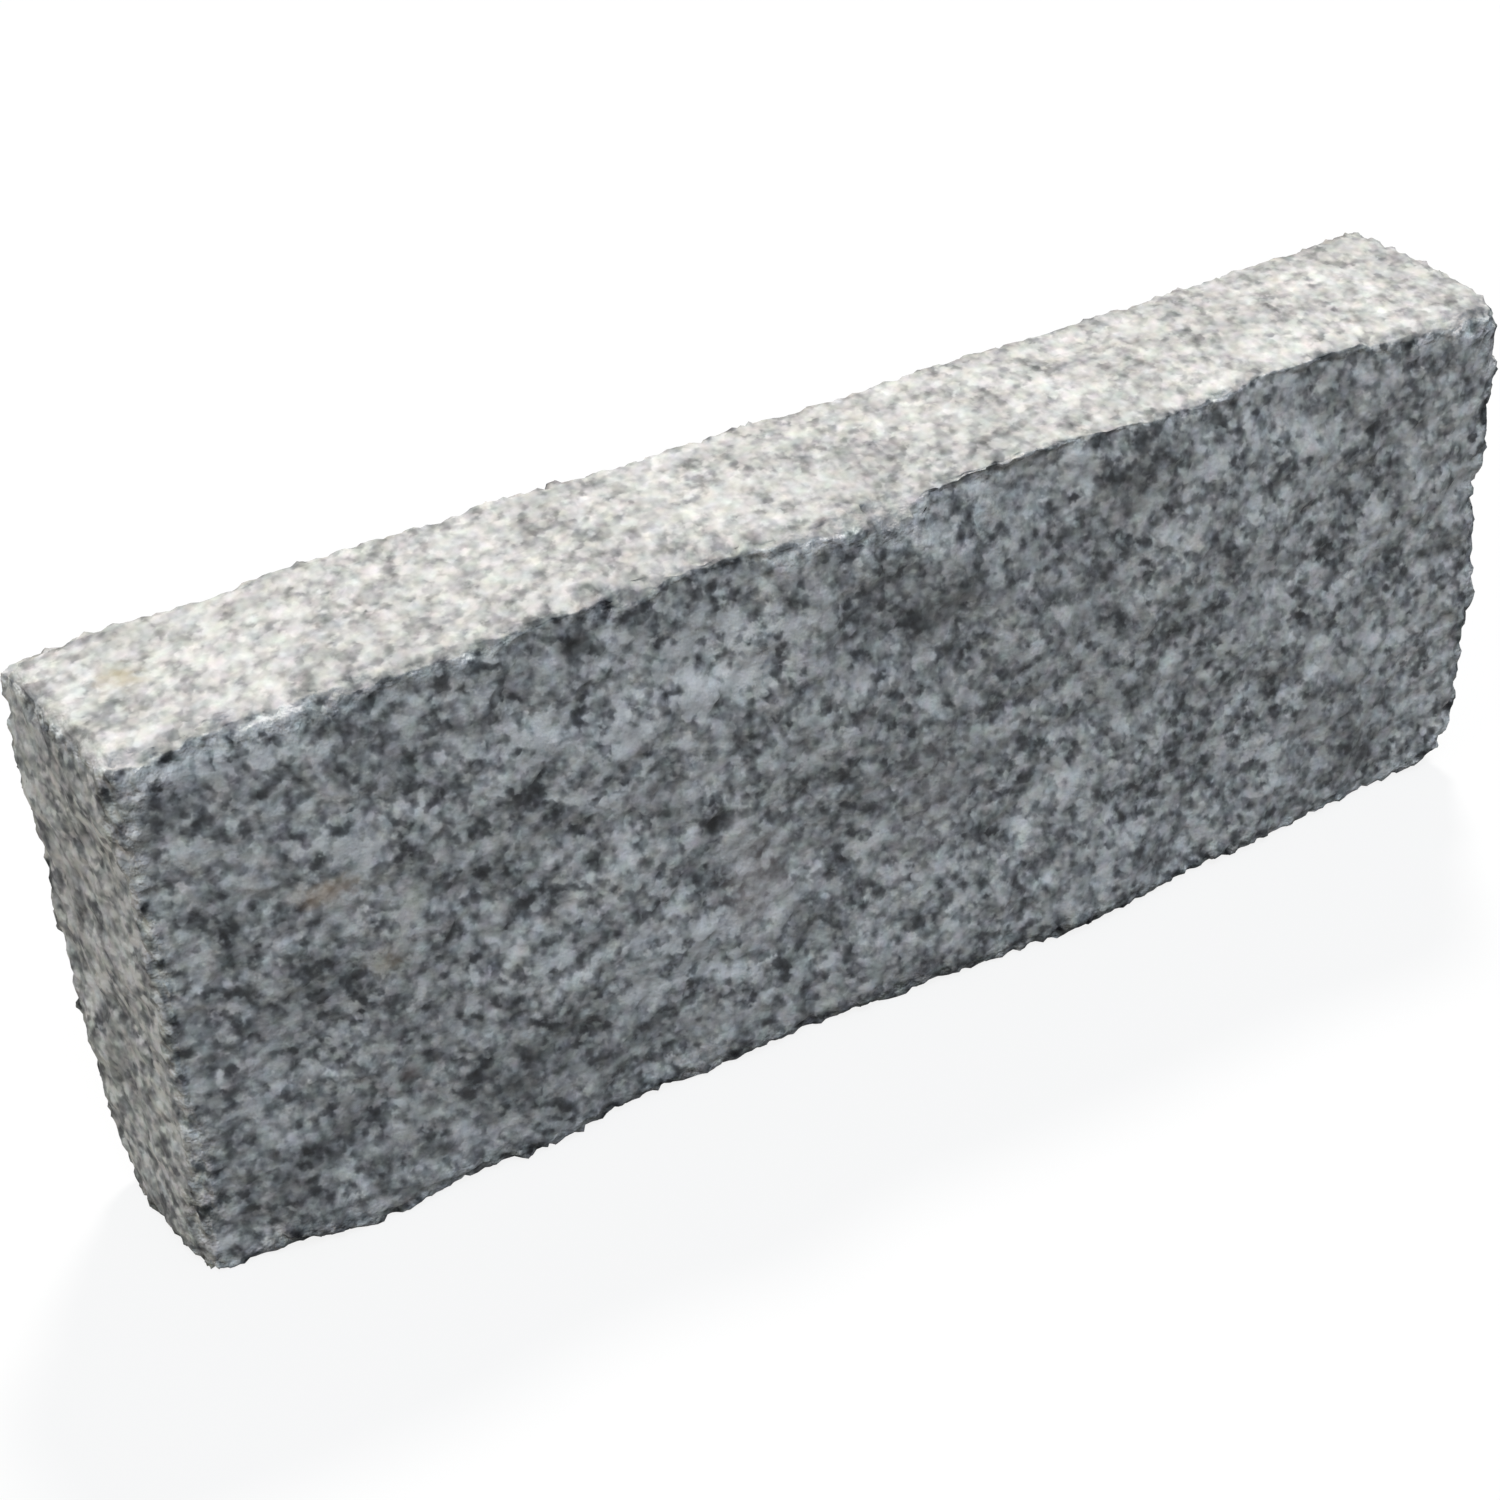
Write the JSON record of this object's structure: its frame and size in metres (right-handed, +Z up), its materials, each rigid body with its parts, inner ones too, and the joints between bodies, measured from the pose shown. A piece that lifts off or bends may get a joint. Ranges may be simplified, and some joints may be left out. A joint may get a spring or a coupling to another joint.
{
  "type": "granite kerb stone",
  "caption": "Straight kerb stone of split grey granite with rough faces and broken arrises, standing on its long narrow bed",
  "frame": {"origin": "on the level floor, under the middle of the stone's bounding box", "axes": "+X runs along the stone, its longest side; the exposed split face is towards -Y and the back towards +Y; +Z is up, from the bed to the head"},
  "size_m": [0.818, 0.1336, 0.3048],
  "materials": {
    "granite": "split, rough, speckled grey"
  },
  "bodies": {
    "root": {"kerb_stone": "granite"}
  },
  "joints": []
}
